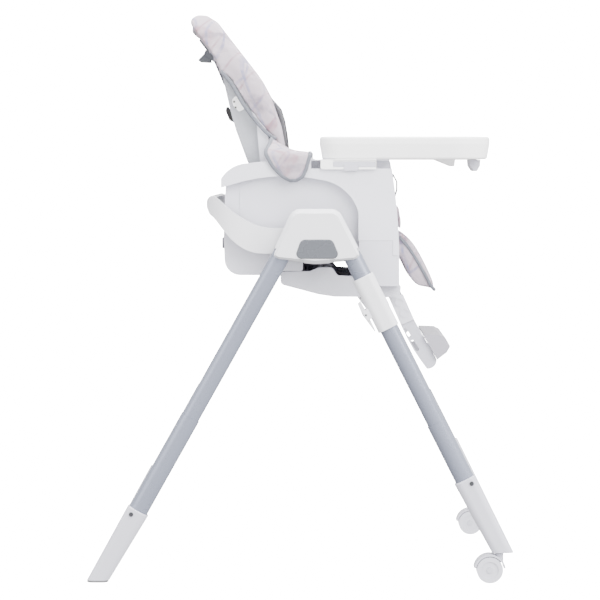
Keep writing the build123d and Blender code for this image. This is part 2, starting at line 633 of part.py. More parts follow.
STRAP_Y, STRAP_W, WEB_T = 58.0, 25.0, 2.5
with BuildPart() as pocket:                      # room for the backrest inside its cover
    with BuildSketch(side_plane()):
        outline(REAR_LINE + SEAM_LINE[::-1])
        outline(SEAM_LINE + FRONT_LINE[::-1])
        offset(amount=0.8, kind=Kind.INTERSECTION, mode=Mode.REPLACE)
    extrude(amount=PANEL_Y - 3.2, both=True)
    trim_to_front(PANEL_Y - 3.2, 1051, 960.5, 60)

with BuildPart() as back_pad:
    with BuildSketch(side_plane()):
        outline(PAD_LINE + HEAD_TOP + HOOD_LINE + WING_LINE)
    extrude(amount=PANEL_Y + 2, both=True)
    trim_to_front(PANEL_Y + 2, 1068, 975, 70)
    add(pocket.part, mode=Mode.SUBTRACT)
    # window for the recline handle, and slots for the shoulder straps
    with BuildSketch(side_plane()):
        outline([(-230, 925), (-140, 925), (-150, 951), (-164, 983), (-176, 999), (-202, 1030),
                 (-230, 1030)])
    extrude(amount=35, both=True, mode=Mode.SUBTRACT)
    for y in (-STRAP_Y, STRAP_Y):
        block(-110, -30, y - STRAP_W / 2 - 1, y + STRAP_W / 2 + 1, 904, 912, mode=Mode.SUBTRACT)
save(back_pad, "back_pad")


with BuildPart() as shoulder_straps:
    for y in (-STRAP_Y, STRAP_Y):
        with BuildSketch(side_plane(y)):
            with BuildLine():
                FilletPolyline((-96, 908), (-58, 908), (-41, 889), (-34, 866), (-29, 837),
                               (-26, 808), (-21, 765), (-15, 727), radius=3)
            trace(line_width=WEB_T)
        extrude(amount=STRAP_W / 2, both=True)
save(shoulder_straps, "shoulder_straps")

# buckle tongues at the ends of the straps, and the plates that anchor them at the back
with BuildPart() as strap_fittings:
    for y in (-STRAP_Y, STRAP_Y):
        with BuildSketch(side_plane(y)):
            rounded([(-18.6, 730), (-11.5, 729), (-8.8, 712), (-15.8, 713)], 1.5)
        extrude(amount=14, both=True)
        with BuildSketch(side_plane(y)):
            with BuildLine():
                Line((-21, 765), (-14.685, 725))
            trace(line_width=WEB_T + 0.1)
        extrude(amount=STRAP_W / 2 + 0.1, both=True, mode=Mode.SUBTRACT)
        with BuildSketch(side_plane(y)):
            rounded([(-141.6, 893), (-146, 890), (-147, 883), (-140, 866), (-136.5, 863),
                     (-134, 866)], 1.2)
        extrude(amount=13, both=True)
    with BuildSketch(side_plane()):
        outline(REAR_LINE + SEAM_LINE[::-1])
    extrude(amount=BACK_Y, both=True, mode=Mode.SUBTRACT)
save(strap_fittings, "strap_fittings")

with BuildPart() as pad_clips:
    with BuildSketch(side_plane(-BACK_Y)):
        rounded([(-131, 903), (-124, 910), (-107, 896), (-109, 884), (-118, 880), (-129, 892)], 3)
    slab(-1, BACK_Y, BACK_Y + 3)
    for x, z in ((-127, 899), (-124, 888)):          # rivet heads
        rod(x, z, 2.4, -(BACK_Y + 3), -(BACK_Y + 4))
    mirror(about=Plane.XZ)
save(pad_clips, "pad_clips")

# recline handle: fixed bezel on the back of the head, sprung lever hinged in it
HANDLE_HINGE = (-183.0, 998.0)
with BuildPart() as recline_bezel:
    with BuildSketch(side_plane()):
        outline([(-198.6, 1026.6), (-193, 1018), (-176, 998), (-164, 982), (-150, 950),
                 (-146.5, 937), (-152.5, 936), (-159, 952), (-171, 980), (-183, 999),
                 (-200, 1021)])
    extrude(amount=33, both=True)
    with BuildSketch(side_plane()):
        outline([(-230, 1012), (-177, 1012), (-177, 996.8), (-165.4, 981), (-166.5, 975),
                 (-230, 960)])
    extrude(amount=28, both=True, mode=Mode.SUBTRACT)
    # cheeks that hold the lever pin
    for s in (-1, 1):
        with BuildSketch(side_plane(s * 28)):
            outline([(-176, 998), (-189, 1003), (-189, 993), (-171, 980), (-164, 982)])
        slab(s, 28, 33)
    with BuildSketch(side_plane()):
        outline(REAR_LINE + SEAM_LINE[::-1])
    extrude(amount=40, both=True, mode=Mode.SUBTRACT)
    rod(*HANDLE_HINGE, 2, -40, 40, mode=Mode.SUBTRACT)
    rod(*HANDLE_HINGE, 2, -33, 33)               # hinge pin of the lever
save(recline_bezel, "recline_bezel")

with BuildPart() as recline_lever:
    with BuildSketch(side_plane()):
        rounded([(-187, 1004), (-192, 995), (-203, 984), (-200, 981.5), (-177.5, 980), (-183.5, 1004.5)],
                [2, 6, 1.2, 2, 2, 2])
    extrude(amount=27.5, both=True)
    rod(*HANDLE_HINGE, 2 + RUN, -40, 40, mode=Mode.SUBTRACT)
save(recline_lever, "recline_lever")


# ---------------------------------------------------------------- seat pad, calf pad and flaps
with BuildPart() as seat_pad:
    with BuildSketch(side_plane()):
        rounded([(-18, 684.6), (-18, 703), (60, 705), (168, 706), (190, 701), (191, 653),
                 (186.4, 653), (184.8, 700), (176.4, 702.4), (176.4, 684.6)],
                [3, 8, 30, 8, 12, 1, 1, 2, 1, 1])
    extrude(amount=170, both=True)
    block(163, 176, -15, 15, 680, 720, mode=Mode.SUBTRACT)
save(seat_pad, "seat_pad")

with BuildPart() as calf_pad:
    with BuildSketch(side_plane()):
        with BuildLine():
            Spline((190, 651), (209, 635), (233, 598), (252, 558), (259, 540.5))
            Line((259, 540.5), (254, 540))
            Spline((254, 540), (243, 544.5), (229, 547), (206, 575), (190, 604))
            Line((190, 604), (187, 610))
            Line((187, 610), (187, 651))
            Line((187, 651), (190, 651))
        make_face()
    extrude(amount=128, both=True)
save(calf_pad, "calf_pad")

with BuildPart() as arm_flaps:
    # outside drop, then the strip over the armrest, then the upright wing inside
    with BuildSketch(side_plane(-(SHELL_Y + 0.4))):
        rounded([(-62, 788), (-57, 782), (-40, 758), (-12, 747), (6, 762), (18.5, 800),
                 (-62, 790)], [1, 4, 12, 10, 10, 1, 1])
    slab(-1, SHELL_Y + 0.4, SHELL_Y + 3)
    with BuildSketch(side_plane(-(SHELL_IN - 3))):
        outline([(-62, 786.6), (-62, 789.8), (18.5, 798.8), (18.5, 795.9)])
    slab(-1, SHELL_IN - 3, SHELL_Y + 3)
    with BuildSketch(side_plane(-(SHELL_IN - 3))):
        rounded([(-64, 712), (-68, 790), (-62, 822), (-46, 829), (-24, 804), (18.5, 798.8),
                 (18.5, 712)], [2, 10, 10, 6, 20, 1, 2])
    slab(-1, SHELL_IN - 3, SHELL_IN - 0.4)
    mirror(about=Plane.XZ)
save(arm_flaps, "arm_flaps")

with BuildPart() as seat_straps:
    with BuildSketch(side_plane()):
        with BuildLine():
            FilletPolyline((170, 682), (170, 707), (183, 713), (188, 729), (188, 746), (180, 761),
                           (166, 761), radius=3)
        trace(line_width=WEB_T)
    extrude(amount=STRAP_W / 2, both=True)
    for s in (-1, 1):                            # waist straps, lying on the seat pad
        block(14, 14 + STRAP_W, s * 60, s * 168, 705.6, 708)
save(seat_straps, "seat_straps")

with BuildPart() as buckle:
    block(128, 170, -23, 23, 754, 768)
    fillet(buckle.edges().filter_by(Axis.Z), 7)
    fillet(buckle.faces().sort_by(Axis.Z)[-1].edges(), 2)
    block(165, 175, -12.5, 12.5, 759.75, 762.25, mode=Mode.SUBTRACT)
    block(140, 158, -10, 10, 762, 770, mode=Mode.SUBTRACT)
save(buckle, "buckle")

with BuildPart() as buckle_button:
    block(140.4, 157.6, -9.6, 9.6, 764.5, 769)
    fillet(buckle_button.faces().sort_by(Axis.Z)[-1].edges(), 1.5)
save(buckle_button, "buckle_button")


# ---------------------------------------------------------------- tray
TRAY_PLAN = [(TRAY_X0, -TRAY_Y), (TRAY_X1, -TRAY_Y), (TRAY_X1, TRAY_Y), (TRAY_X0, TRAY_Y),
             (TRAY_X0, 165), (TRAY_X0 + 34, 100), (TRAY_X0 + 34, -100), (TRAY_X0, -165)]
TRAY_RADII = [38, 70, 70, 38, 18, 60, 60, 18]


def tray_plan(inset=0.0):
    rounded(TRAY_PLAN, TRAY_RADII)
    if inset:
        offset(amount=-inset, mode=Mode.REPLACE)


with BuildPart() as tray_base:
    with BuildSketch(Plane.XY.offset(TRAY_SPLIT)):
        tray_plan()
    extrude(amount=-(TRAY_SPLIT - TRAY_BOTTOM), taper=10)
    fillet(tray_base.faces().sort_by(Axis.Z)[0].edges(), 5)
    with BuildSketch(Plane.XY.offset(TRAY_SPLIT)):
        tray_plan(TRAY_WALL)
    extrude(amount=-(TRAY_SPLIT - TRAY_BOTTOM - TRAY_WALL), taper=14, mode=Mode.SUBTRACT)
    # grip under the front, and the slot the release lever slides in
    with BuildSketch(side_plane()):
        outline([(262, 791), (262, 789), (294, 776), (299, 776), (301, 791)])
    extrude(amount=45, both=True)
    block(324, 345, -21, 21, 780, 800, mode=Mode.SUBTRACT)
save(tray_base, "tray_base")

with BuildPart() as tray_insert:
    with BuildSketch(Plane.XY.offset(TRAY_SPLIT)):
        tray_plan()
    extrude(amount=TRAY_TOP - TRAY_SPLIT)
    fillet(tray_insert.faces().sort_by(Axis.Z)[-1].edges(), 5)
    with BuildSketch(Plane.XY.offset(TRAY_SPLIT)):
        tray_plan(9)
    extrude(amount=-8, taper=10)
    with BuildSketch(Plane.XY.offset(TRAY_TOP)):
        tray_plan(12)
    extrude(amount=-18, taper=14, mode=Mode.SUBTRACT)
    with BuildSketch(Plane.XY.offset(TRAY_TOP)):      # cup recess
        with Locations((290, 165)):
            Circle(37)
    extrude(amount=-19.2, mode=Mode.SUBTRACT)
save(tray_insert, "tray_insert")

LATCH_X = (61.0, 141.0)
with BuildPart() as tray_brackets:
    with BuildSketch(side_plane(-232.5)):
        rounded([(38, 789.4), (38, 773), (42, 770.5), (142, 770.5), (142, 789.4)],
                [0.5, 1, 3, 1, 0.5])
    slab(-1, 232.5, 236.5)
    # tongue that runs in the armrest channel
    block(40, 140, -(RAIL_BACK + 3), -232.5, RAIL_Z0 + 1.5, RAIL_Z1 - 2)
    block(43, 137, -(RAIL_BACK + 6), -229, RAIL_Z0, RAIL_Z1 - 5, mode=Mode.SUBTRACT)
    # window and slot for the latch
    block(LATCH_X[0], LATCH_X[1], -233.4, -240, 774.5, 787.5, mode=Mode.SUBTRACT)
    block(81, 109, -233.4, -240, 765, 780, mode=Mode.SUBTRACT)
    mirror(about=Plane.XZ)
save(tray_brackets, "tray_brackets")

for name, s in SIDES:
    with BuildPart() as tray_latch:
        block(LATCH_X[0] + 0.5, LATCH_X[1] - 0.5, s * 233.8, s * 236, 775, 784.5)
        block(81.6, 108.4, s * 233.8, s * 237.8, 768, 780)
    save(tray_latch, f"tray_latch_{name}")

with BuildPart() as tray_lever:
    with BuildSketch(side_plane()):
        rounded([(329, 789), (330, 777), (337, 767), (343, 766), (349, 777), (350, 789)],
                [1, 6, 4, 4, 6, 1])
    extrude(amount=48, both=True)
    block(335, 344, -20, 20, 788, 796)
    block(331, 348, -24, 24, 793.2, 796)
save(tray_lever, "tray_lever")
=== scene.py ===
"""Looks of the baby high chair: finishes, soft pads, straps, floor, light and camera."""

import math

import bpy
import numpy as np
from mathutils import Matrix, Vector


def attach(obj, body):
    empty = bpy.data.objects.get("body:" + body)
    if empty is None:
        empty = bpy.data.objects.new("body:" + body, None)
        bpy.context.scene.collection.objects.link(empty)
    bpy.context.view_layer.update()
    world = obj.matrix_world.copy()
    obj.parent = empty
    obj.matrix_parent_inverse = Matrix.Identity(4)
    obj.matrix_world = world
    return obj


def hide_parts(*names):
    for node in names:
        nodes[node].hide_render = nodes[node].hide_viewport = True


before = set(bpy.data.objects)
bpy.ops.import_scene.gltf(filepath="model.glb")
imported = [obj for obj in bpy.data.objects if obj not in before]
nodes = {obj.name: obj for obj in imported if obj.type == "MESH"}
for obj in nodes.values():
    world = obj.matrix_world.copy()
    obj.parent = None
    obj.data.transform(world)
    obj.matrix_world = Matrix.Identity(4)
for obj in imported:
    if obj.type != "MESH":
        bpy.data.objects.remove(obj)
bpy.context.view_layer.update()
MM = 0.001
WAVE = 0.314                     # scale of a wave texture times the pitch of its waves, in metres


# ---------------------------------------------------------------- shader helpers
LIGHT = 4.6                      # roughly the radiance of a white surface in this scene
# shown brightness, and roughly the scene radiance that gives it
SHOWN = (0.0, 0.15, 0.25, 0.46, 0.60, 0.745, 0.80, 0.88, 0.935, 0.975, 1.0)
SCENE = (0.0, 0.02, 0.05, 0.18, 0.36, 0.75, 1.0, 2.0, 4.0, 8.0, 16.0)


def linear(rgb):
    """Base colour that shows as about this 0 to 255 colour under the studio light."""
    return [min(0.92, float(np.interp(c / 255, SHOWN, SCENE)) / LIGHT) for c in rgb]


class Shader:
    """A node material that varies a little over the surface."""

    def __init__(self, name):
        self.mat = bpy.data.materials.new(name)
        self.mat.use_nodes = True
        self.tree = self.mat.node_tree
        self.bsdf = self.tree.nodes["Principled BSDF"]
        self.coords = self.add("ShaderNodeTexCoord").outputs["Object"]

    def add(self, kind, inputs=None, **settings):
        node = self.tree.nodes.new(kind)
        for key, value in settings.items():
            setattr(node, key, value)
        for key, value in (inputs or {}).items():
            self.feed(node.inputs[key], value)
        return node

    def feed(self, socket, value):
        if isinstance(value, bpy.types.NodeSocket):
            self.tree.links.new(value, socket)
        elif isinstance(value, (list, tuple)) and len(value) == 3 and socket.type == "RGBA":
            socket.default_value = [*value, 1]
        else:
            socket.default_value = value

    def noise(self, scale, detail=2.0, roughness=0.5):
        node = self.add("ShaderNodeTexNoise", {"Vector": self.coords, "Scale": scale,
                                               "Detail": detail, "Roughness": roughness})
        return node.outputs["Fac"]

    def span(self, value, low, high, start=0.3, end=0.7):
        """Map value from start..end to low..high."""
        node = self.add("ShaderNodeMapRange", {"Value": value, "From Min": start,
                                               "From Max": end, "To Min": low, "To Max": high})
        return node.outputs["Result"]

    def math(self, operation, a, b=0.0):
        node = self.add("ShaderNodeMath", operation=operation)
        self.feed(node.inputs[0], a)
        self.feed(node.inputs[1], b)
        return node.outputs[0]

    def mix(self, factor, a, b):
        node = self.add("ShaderNodeMix", data_type="RGBA")
        self.feed(node.inputs["Factor"], factor)
        self.feed(node.inputs[6], a)
        self.feed(node.inputs[7], b)
        return node.outputs[2]

    def bump(self, height, strength, distance):
        node = self.add("ShaderNodeBump", {"Height": height, "Strength": strength,
                                           "Distance": distance})
        self.feed(self.bsdf.inputs["Normal"], node.outputs["Normal"])

    def set(self, **values):
        for key, value in values.items():
            self.feed(self.bsdf.inputs[key.replace("_", " ")], value)
        return self.mat


def plastic(name, rgb, rough=0.4, grain=0.12, shade=0.035, gloss=0.5):
    """Moulded plastic with a fine grain and a slight cloudiness."""
    m = Shader(name)
    base = linear(rgb)
    cloud = m.noise(22, 4)
    dark = [c * (1 - shade) for c in base]
    m.bump(m.noise(1400, 2), grain, 0.0002)
    return m.set(Base_Color=m.mix(m.span(cloud, 0, 1, 0.2, 0.8), dark, base),
                 Roughness=m.span(m.noise(40, 2), rough - 0.035, rough + 0.035),
                 Specular_IOR_Level=gloss)


def lacquer(name, rgb, rough=0.3, metal=0.35):
    """Metallic lacquer on tube: fine flake and faint cloudiness."""
    m = Shader(name)
    base = linear(rgb)
    flake = m.noise(2600, 1)
    m.bump(flake, 0.05, 0.0001)
    return m.set(Base_Color=m.mix(m.span(flake, 0, 1), [c * 0.93 for c in base], base),
                 Metallic=metal, Roughness=m.span(m.noise(30, 2), rough - 0.03, rough + 0.03))


def steel(name, rgb=(150, 151, 155)):
    """Bare turned steel."""
    m = Shader(name)
    base = linear(rgb)
    wear = m.noise(300, 3)
    m.bump(wear, 0.08, 0.0001)
    return m.set(Base_Color=m.mix(m.span(wear, 0, 1), [c * 0.8 for c in base], base),
                 Metallic=1.0, Roughness=m.span(wear, 0.28, 0.42))


def threads(m, pitch):
    """Height of a plain weave: crossing ribs along three directions."""
    ribs = []
    for axis in ("X", "Y", "Z"):
        wave = m.add("ShaderNodeTexWave", {"Vector": m.coords, "Scale": WAVE / pitch,
                                           "Distortion": 0.6, "Detail": 1.0},
                     bands_direction=axis)
        ribs.append(wave.outputs["Fac"])
    return m.math("ADD", m.math("ADD", ribs[0], ribs[1]), ribs[2])


# printed strokes: direction across them, ink, pitch in mm and how much they wander
STROKES = (((0.9, 0.5, 0.65), (208, 188, 196), 42, 5),
           ((-0.7, 0.6, 0.75), (190, 189, 209), 36, 6),
           ((0.25, -0.8, 0.9), (210, 192, 199), 53, 7),
           ((0.8, 0.75, -0.35), (194, 195, 212), 47, 5),
           ((0.1, 0.35, 1.0), (200, 193, 204), 60, 8))


def cloth(name, rgb, weave=0.0012, bumpy=0.35, strokes=(), rough=0.85):
    """Woven cloth, printed with the thin crossing strokes that are given."""
    m = Shader(name)
    base = linear(rgb)
    weave_height = threads(m, weave)
    fuzz = m.noise(700, 2)
    colour = m.mix(m.span(m.noise(14, 3), 0, 1), [c * 0.95 for c in base], base)
    for direction, ink, pitch, wander in strokes:
        turned = m.add("ShaderNodeMapping", {"Vector": m.coords})
        turned.inputs["Rotation"].default_value = Vector(direction).to_track_quat(
            "X", "Z").to_euler()[:]
        wave = m.add("ShaderNodeTexWave", {"Vector": turned.outputs["Vector"],
                                           "Scale": WAVE / (pitch * MM),
                                           "Distortion": wander, "Detail": 1.0,
                                           "Detail Scale": 0.35},
                     bands_direction="X", wave_profile="SIN")
        stroke = m.span(wave.outputs["Fac"], 0, 0.85, 0.965, 0.992)
        faded = m.math("MULTIPLY", stroke, m.span(m.noise(30 + pitch, 1), 0.25, 1))
        colour = m.mix(faded, colour, linear(ink))
    m.bump(m.math("ADD", weave_height, fuzz), bumpy, 0.0003)
    m.set(Base_Color=colour, Roughness=m.span(fuzz, rough - 0.05, rough + 0.05),
          Sheen_Weight=0.08, Sheen_Roughness=0.5)
    return m.mat


def webbing(name, rgb, across="Z"):
    """Narrow woven strap with ribs across it, coloured darker where the ribs are low as painted
    shade in the grooves.
    """
    m = Shader(name)
    base = linear(rgb)
    ribs = m.add("ShaderNodeTexWave", {"Vector": m.coords, "Scale": WAVE / 0.0016,
                                       "Distortion": 0.4}, bands_direction=across)
    height = m.math("ADD", ribs.outputs["Fac"], m.noise(900, 2))
    m.bump(height, 0.5, 0.0004)
    # darker where the rib height is low: painted shade in the grooves between the ribs
    return m.set(Base_Color=m.mix(m.span(height, 0, 1, 0.4, 1.4), [c * 0.8 for c in base], base),
                 Roughness=m.span(m.noise(120, 2), 0.7, 0.85))


hub = plastic("hub_plastic", (232, 232, 233))
shell = plastic("shell_plastic", (231, 231, 233))
base_plastic = plastic("base_plastic", (229, 229, 231))
# the backrest's rear box is coloured darker than the white plastic of the backrest panel: painted
# shade on the rear box
shade = plastic("back_shell_plastic_painted_shade", (214, 215, 218), rough=0.45)
black = plastic("black_plastic", (58, 58, 62), rough=0.5)
charcoal = plastic("grip_plastic", (158, 160, 167), rough=0.5)
# mid grey for the cross beam and hub plates, matched to the shade in the recess under the seat
# where they sit: painted shade
painted_shade_grey = plastic("beam_plastic_painted_shade", (128, 130, 134), rough=0.5)
button = plastic("button_plastic", (146, 151, 158), rough=0.28)
foot = plastic("foot_plastic", (226, 226, 228))
board = plastic("foot_board_plastic", (214, 213, 217), rough=0.38)
tray = plastic("tray_plastic", (246, 246, 247), rough=0.24, grain=0.04, shade=0.015)
wheel = plastic("wheel_plastic", (228, 228, 230), rough=0.42)
sole = plastic("sole_rubber", (176, 176, 179), rough=0.75, grain=0.4)
tube = lacquer("tube_lacquer", (194, 198, 207), rough=0.26)
metal = steel("turned_steel")
fabric = cloth("printed_cloth", (220, 215, 219), strokes=STROKES)
binding = cloth("binding_tape", (176, 179, 190), weave=0.0014, bumpy=0.5)
harness = webbing("harness_webbing", (142, 141, 150))
harness_cloth = cloth("harness_cloth", (140, 139, 147), weave=0.0016, bumpy=0.5)
waist_webbing = webbing("waist_webbing", (142, 141, 150), across="Y")

finishes = {
    "hub_cover_right": hub, "hub_cover_left": hub, "push_handle": hub,
    "fold_button_right": button, "fold_button_left": button, "buckle_button": button,
    "hub_plates": painted_shade_grey, "cross_beam": painted_shade_grey, "recline_axle": metal,
    "front_link_shaft": metal, "rear_link_shaft": metal, "front_leg_fasteners": metal,
    "rear_leg_fasteners": metal,
    "front_upper_tubes": tube, "front_lower_tubes": tube, "rear_upper_tubes": tube,
    "rear_lower_tubes": tube, "front_leg_knuckles": foot, "rear_leg_knuckles": foot,
    "front_foot_sleeves": foot, "rear_foot_sleeves": foot, "rear_soles": sole,
    "collars": hub, "collar_lever_right": hub, "collar_lever_left": hub,
    "caster_body_right": foot, "caster_body_left": foot, "caster_wheels_right": wheel,
    "caster_wheels_left": wheel,
    "seat_base": base_plastic, "seat_deck": base_plastic, "rear_bumper": black,
    "side_shell_right": shell, "side_shell_left": shell, "front_covers": base_plastic,
    "front_panel": shell, "front_sill": base_plastic, "base_pan": base_plastic,
    "slide_brackets": shell, "footrest_arms": foot, "foot_board": board,
    "backrest_shell": shade, "backrest_panel": shell, "pad_clips": tray,
    "recline_bezel": charcoal, "recline_lever": charcoal, "strap_fittings": black,
    "shoulder_straps": harness, "seat_straps": waist_webbing, "buckle": foot,
    "tray_base": tray, "tray_insert": tray, "tray_lever": foot, "tray_brackets": tray,
    "tray_latch_right": foot, "tray_latch_left": foot,
    "seat_pad": fabric, "calf_pad": fabric, "back_pad": fabric, "arm_flaps": fabric,
}
for name, obj in nodes.items():
    obj.data.materials.clear()
    obj.data.materials.append(finishes[name])
# larger faces weigh more in the shading of the fold buttons
for name in ("fold_button_right", "fold_button_left"):
    nodes[name].modifiers.new("even_shading", "WEIGHTED_NORMAL")


# ---------------------------------------------------------------- mesh helpers
def new_object(name, verts, faces, material):
    """Smoothly shaded mesh object."""
    mesh = bpy.data.meshes.new(name)
    mesh.from_pydata([tuple(v) for v in verts], [], faces)
    mesh.update()
    obj = bpy.data.objects.new(name, mesh)
    bpy.context.collection.objects.link(obj)
    mesh.materials.append(material)
    mesh.polygons.foreach_set("use_smooth", [True] * len(mesh.polygons))
    return obj


def points_of(obj):
    co = np.empty(len(obj.data.vertices) * 3)
    obj.data.vertices.foreach_get("co", co)
    return co.reshape(-1, 3)


def set_points(obj, co):
    obj.data.vertices.foreach_set("co", co.ravel())
    obj.data.update()


def bake(obj):
    """Make the modifiers' result the object's own mesh."""
    graph = bpy.context.evaluated_depsgraph_get()
    mesh = bpy.data.meshes.new_from_object(obj.evaluated_get(graph))
    obj.modifiers.clear()
    obj.data = mesh


def solid_copy(node, name, voxel, rounds):
    """Evenly meshed copy of a CAD node, softened by rounds of smoothing."""
    obj = nodes[node].copy()
    obj.data = nodes[node].data.copy()
    obj.name = name
    obj.parent = None
    bpy.context.collection.objects.link(obj)
    obj.data.transform(nodes[node].matrix_world)
    obj.matrix_world.identity()
    remesh = obj.modifiers.new("even", "REMESH")
    remesh.mode = "VOXEL"
    remesh.voxel_size = voxel
    soft = obj.modifiers.new("soft", "SMOOTH")
    soft.iterations = rounds
    bake(obj)
    obj.data.polygons.foreach_set("use_smooth", [True] * len(obj.data.polygons))
    return obj


PRESSURE = 4.0                   # inner pressure of the pads
LAST_FRAME = 20                  # end of the cloth simulation


def inflate(obj, cap):
    """Cloth simulation under inner pressure; no point moves further than cap."""
    rest = points_of(obj)
    mod = obj.modifiers.new("cloth", "CLOTH")
    cloth_set = mod.settings
    cloth_set.quality = 4
    cloth_set.mass = 0.3
    cloth_set.tension_stiffness = cloth_set.compression_stiffness = 12
    cloth_set.shear_stiffness = 4
    cloth_set.bending_stiffness = 0.4
    cloth_set.use_pressure = True
    cloth_set.uniform_pressure_force = PRESSURE
    cloth_set.effector_weights.gravity = 0
    mod.collision_settings.use_collision = False
    mod.point_cache.frame_start, mod.point_cache.frame_end = 1, LAST_FRAME
    for f in range(1, LAST_FRAME + 1):
        bpy.context.scene.frame_set(f)
    bake(obj)
    bpy.context.scene.frame_set(1)
    moved = points_of(obj) - rest
    size = np.linalg.norm(moved, axis=1, keepdims=True)
    set_points(obj, rest + moved * np.minimum(1, cap / np.maximum(size, 1e-9)))


def refine(obj):
    """One round of subdivision."""
    sub = obj.modifiers.new("fine", "SUBSURF")
    sub.levels = sub.render_levels = 1
    bake(obj)
    obj.data.polygons.foreach_set("use_smooth", [True] * len(obj.data.polygons))


def bulge(turn, half, power):
    """Place across a rounded strip; turn is the cosine or sine of the way round it."""
    return half * math.copysign(abs(turn) ** power, turn)


def strip_faces(rings, ring):
    """Faces of a closed strip: its sides, ring points round, and its two ends."""
    faces = []
    for i in range(rings - 1):
        for k in range(ring):
            a, b = i * ring + k, i * ring + (k + 1) % ring
            faces.append((a, b, b + ring, a + ring))
    faces.append(tuple(range(ring))[::-1])
    faces.append(tuple((rings - 1) * ring + k for k in range(ring)))
    return faces


def tape(name, path, normals, width, height, body):
    """Bound edge: a soft rounded strip along path, lying square to its normal or normals."""
    path = [Vector(p) for p in path]
    n = len(path)
    many = not isinstance(normals[0], (int, float))
    verts = []
    ring = 10
    for i, p in enumerate(path):
        along = (path[min(i + 1, n - 1)] - path[max(i - 1, 0)]).normalized()
        up = Vector(normals[i] if many else normals)
        side = along.cross(up).normalized()
        up = side.cross(along).normalized()
        for k in range(ring):
            a = 2 * math.pi * k / ring
            ca, sa = math.cos(a), math.sin(a)
            verts.append(p + side * bulge(ca, width / 2, 0.6) + up * bulge(sa, height / 2, 0.6))
    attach(new_object(name, verts, strip_faces(n, ring), binding), body)


def smooth_path(points, steps=6):
    """Catmull-Rom curve through the points."""
    p = np.array(points, float)
    p = np.vstack([2 * p[0] - p[1], p, 2 * p[-1] - p[-2]])
    out = []
    for i in range(1, len(p) - 2):
        for t in np.linspace(0, 1, steps, endpoint=False):
            a, b, c, d = p[i - 1], p[i], p[i + 1], p[i + 2]
            out.append(0.5 * (2 * b + (c - a) * t + (2 * a - 5 * b + 4 * c - d) * t ** 2
                              + (3 * b - a - 3 * c + d) * t ** 3))
    out.append(p[-2])
    return [Vector(v) for v in out]


# ---------------------------------------------------------------- pads
# CAD node, piece, voxel size, rounds of smoothing, longest way a point may move, body, fill
PADS = (("back_pad", "back_cushion", 0.005, 4, 0.004, "backrest", 0.6),
        ("seat_pad", "seat_cushion", 0.005, 4, 0.003, "seat", 0.5),
        ("calf_pad", "calf_cushion", 0.004, 2, 0.0015, "seat", 0.5))
for node, piece, voxel, rounds, cap, body, fill in PADS:
    pad = solid_copy(node, piece, voxel, rounds)
    inflate(pad, cap)
    refine(pad)
    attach(pad, body)
    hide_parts(node)

# ---------------------------------------------------------------- arm flaps
# rows of the flap's middle surface, from inside the seat over the armrest and down outside:
# distance from the middle plane, height at the rear and front edge, X of those edges (mm)
FLAP_ROWS = [(173.6, 718, 718, -61, 15), (173.4, 760, 758, -64, 18), (173.4, 800, 788, -62, 18),
             (174.5, 822, 797, -58, 18), (181, 828, 800.5, -55, 18), (198, 822, 802, -57, 18),
             (216, 813, 801.5, -61, 18), (228, 806, 800, -64.5, 18), (233, 798, 794, -64, 17),
             (234, 787, 784, -58, 14), (234.2, 776, 774, -51, 11.5), (234, 766, 765, -42, 8),
             (233.8, 757, 757, -32, 3), (233.2, 750, 750, -19, -8)]
ACROSS = 30                      # points across a flap
FLAP_THICK = 0.005
BOUND_FROM = 8                   # row where the flap's bound edge starts, out of the seat


def flap_grid(side):
    """Points of one flap's middle surface, in rows from the seat to the outer hem."""
    rows = []
    for u in np.linspace(0, 1, ACROSS):
        bow = math.sin(math.pi * u)
        fall = (1 - u) ** 2.2
        rows.append([(x0 + (x1 - x0) * u, side * (y + 1.2 * bow), z1 + (z0 - z1) * fall)
                     for y, z0, z1, x0, x1 in FLAP_ROWS])
    columns = [smooth_path(row, 4) for row in rows]
    return np.array([[np.array(c[j]) for c in columns] for j in range(len(columns[0]))]) * MM


def grid_normals(grid, side):
    """Unit normals of the grid, pointing out of the chair where the flap hangs down."""
    du = np.gradient(grid, axis=1)
    dv = np.gradient(grid, axis=0)
    n = np.cross(dv, du)
    n /= np.linalg.norm(n, axis=2, keepdims=True) + 1e-12
    return n * np.sign((n[-4, ACROSS // 2, 1] * side) or 1)


def padded_sheet(name, grid, normals, thick, material):
    """Closed quilted sheet round a grid of points, thinner towards its edges."""
    nv, nu = grid.shape[:2]
    u = np.minimum(np.arange(nu), nu - 1 - np.arange(nu)) / 5
    v = np.minimum(np.arange(nv), nv - 1 - np.arange(nv)) / 5
    fade = np.sqrt(np.minimum(1, u)[None, :] * np.minimum(1, v)[:, None])
    half = (thick * (0.35 + 0.65 * fade) / 2)[..., None]
    top, low = grid + normals * half, grid - normals * half
    verts = np.vstack([top.reshape(-1, 3), low.reshape(-1, 3)])
    index = np.arange(nv * nu).reshape(nv, nu)
    faces = []
    for i in range(nv - 1):
        for j in range(nu - 1):
            a, b, c, d = index[i, j], index[i, j + 1], index[i + 1, j + 1], index[i + 1, j]
            faces.append((a, b, c, d))
            k = nv * nu
            faces.append((a + k, d + k, c + k, b + k))
    rim = ([index[0, j] for j in range(nu)] + [index[i, nu - 1] for i in range(1, nv)]
           + [index[nv - 1, j] for j in range(nu - 2, -1, -1)]
           + [index[i, 0] for i in range(nv - 2, 0, -1)])
    for a, b in zip(rim, rim[1:] + rim[:1]):
        faces.append((b, a, a + nv * nu, b + nv * nu))
    return new_object(name, verts, [tuple(int(q) for q in f) for f in faces], material)


